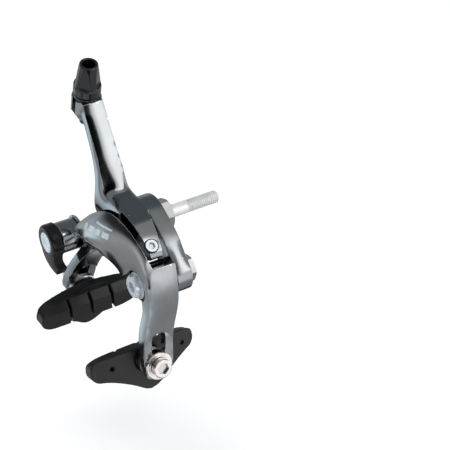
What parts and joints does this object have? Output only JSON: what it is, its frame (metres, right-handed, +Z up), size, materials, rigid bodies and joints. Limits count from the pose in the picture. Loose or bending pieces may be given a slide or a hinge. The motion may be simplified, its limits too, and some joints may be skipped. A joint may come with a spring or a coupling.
{
  "type": "rim brake caliper",
  "caption": "Dual-pivot side-pull rim brake caliper with forged arms, reach-adjustable shoes, cable release lever and barrel adjuster.",
  "frame": {"origin": "on the axis of the centre stud, at the rear face of the lock nut, which is the face that sits against the fork or frame", "axes": "+Y along the centre stud, to the rear; +Z up; +X to the right seen from the front of the caliper"},
  "size_m": [0.0894, 0.0836, 0.143],
  "materials": {
    "arm_alloy": "satin anodised dark silver-grey with polished edges",
    "dark_alloy": "satin anodised dark grey",
    "zinc_steel": "bright zinc plated",
    "black_steel": "black plated",
    "black_plastic": "moulded, fine grain",
    "black_rubber": "matte moulded rubber",
    "pale_disc": "pale blue-white disc"
  },
  "bodies": {
    "bracket": {"bridge_bracket": "dark_alloy", "centre_stud": "zinc_steel", "rear_lock_nut": "zinc_steel", "rear_seat_washer": "zinc_steel", "centre_thrust_washer": "black_plastic", "front_centre_washer": "zinc_steel", "front_centre_nut": "zinc_steel", "side_pivot_bolt": "zinc_steel", "pivot_head_ring": "black_plastic", "side_pivot_nut": "zinc_steel", "pivot_thrust_washer": "black_plastic", "return_spring": "black_steel"},
    "y_arm": {"y_arm": "arm_alloy", "y_arm_bushing": "zinc_steel", "adjuster_collar_nut": "black_plastic", "centering_o_ring": "black_rubber", "spring_guide": "black_plastic", "spring_tension_screw": "black_steel"},
    "centering": {"centering_screw": "zinc_steel"},
    "adjuster_carriage": {"adjuster_o_ring": "black_rubber"},
    "adjuster": {"adjuster_barrel": "black_plastic"},
    "c_arm": {"c_arm": "arm_alloy", "c_arm_bushing": "zinc_steel", "release_boss_washer": "zinc_steel"},
    "release": {"release_lever": "black_plastic", "release_cap_disc": "pale_disc", "release_shaft": "zinc_steel"},
    "anchor": {"cable_anchor_block": "zinc_steel", "cable_clamp_plate": "zinc_steel", "anchor_bolt": "zinc_steel"},
    "left_reach": {"left_concave_washer": "zinc_steel", "left_outer_washer": "zinc_steel"},
    "left_shoe": {"left_pad": "black_rubber", "left_backing_plate": "zinc_steel", "left_shoe_stud": "zinc_steel", "left_convex_washer": "black_steel", "left_shoe_nut": "zinc_steel"},
    "right_reach": {"right_concave_washer": "zinc_steel", "right_outer_washer": "zinc_steel"},
    "right_shoe": {"right_pad": "black_rubber", "right_backing_plate": "zinc_steel", "right_shoe_stud": "zinc_steel", "right_convex_washer": "black_steel", "right_shoe_nut": "zinc_steel"}
  },
  "joints": [
    {"name": "y_arm_pivot", "type": "hinge", "parent": "bracket", "child": "y_arm", "pos_m": [0, -0.022, 0], "axis": [0, -1, 0], "range_deg": [0, 8], "stiffness_Nm_per_rad": 0.6, "springref_deg": -34.38, "deforming": ["return_spring"]},
    {"name": "c_arm_pivot", "type": "hinge", "parent": "bracket", "child": "c_arm", "pos_m": [0.026, -0.022, -0.0125], "axis": [0, 1, 0], "range_deg": [0, 11.12]},
    {"name": "adjuster_travel", "type": "slide", "parent": "y_arm", "child": "adjuster_carriage", "axis": [0.2079, 0, 0.9781], "range_m": [0, 0.005]},
    {"name": "adjuster_turn", "type": "hinge", "parent": "adjuster_carriage", "child": "adjuster", "pos_m": [-0.02708, -0.0235, 0.06222], "axis": [0.2079, 0, 0.9781], "range_deg": [0, 1800]},
    {"name": "centering_turn", "type": "hinge", "parent": "y_arm", "child": "centering", "pos_m": [0.0269, -0.0236, 0.0066], "axis": [0.6198, 0, 0.7848], "range_deg": [-180, 180]},
    {"name": "release_turn", "type": "hinge", "parent": "c_arm", "child": "release", "pos_m": [-0.033, -0.036, -0.0195], "axis": [0, 1, 0], "range_deg": [0, 90]},
    {"name": "anchor_upright", "type": "hinge", "parent": "release", "child": "anchor", "pos_m": [-0.033, -0.025, -0.021], "axis": [0, 1, 0], "range_deg": [-90, 0]},
    {"name": "left_reach_slide", "type": "slide", "parent": "y_arm", "child": "left_reach", "axis": [0.3255, 0.02, 0.9453], "range_m": [0, 0.008]},
    {"name": "left_shoe_turn", "type": "hinge", "parent": "left_reach", "child": "left_shoe", "pos_m": [-0.03835, -0.0283, -0.05165], "axis": [-0.9976, 0, 0.0698], "range_deg": [-8, 8]},
    {"name": "right_reach_slide", "type": "slide", "parent": "c_arm", "child": "right_reach", "axis": [-0.0866, 0.1093, 0.9902], "range_m": [0, 0.0085]},
    {"name": "right_shoe_turn", "type": "hinge", "parent": "right_reach", "child": "right_shoe", "pos_m": [0.0344, -0.0272, -0.05244], "axis": [0.9659, 0, 0.2588], "range_deg": [-8, 8]}
  ],
  "couplings": [
    {"joint": "c_arm_pivot", "follows": "y_arm_pivot", "ratio": 1.39},
    {"joint": "adjuster_turn", "follows": "adjuster_travel", "rad_per_m": 6283.2},
    {"joint": "anchor_upright", "follows": "release_turn", "ratio": -1}
  ]
}
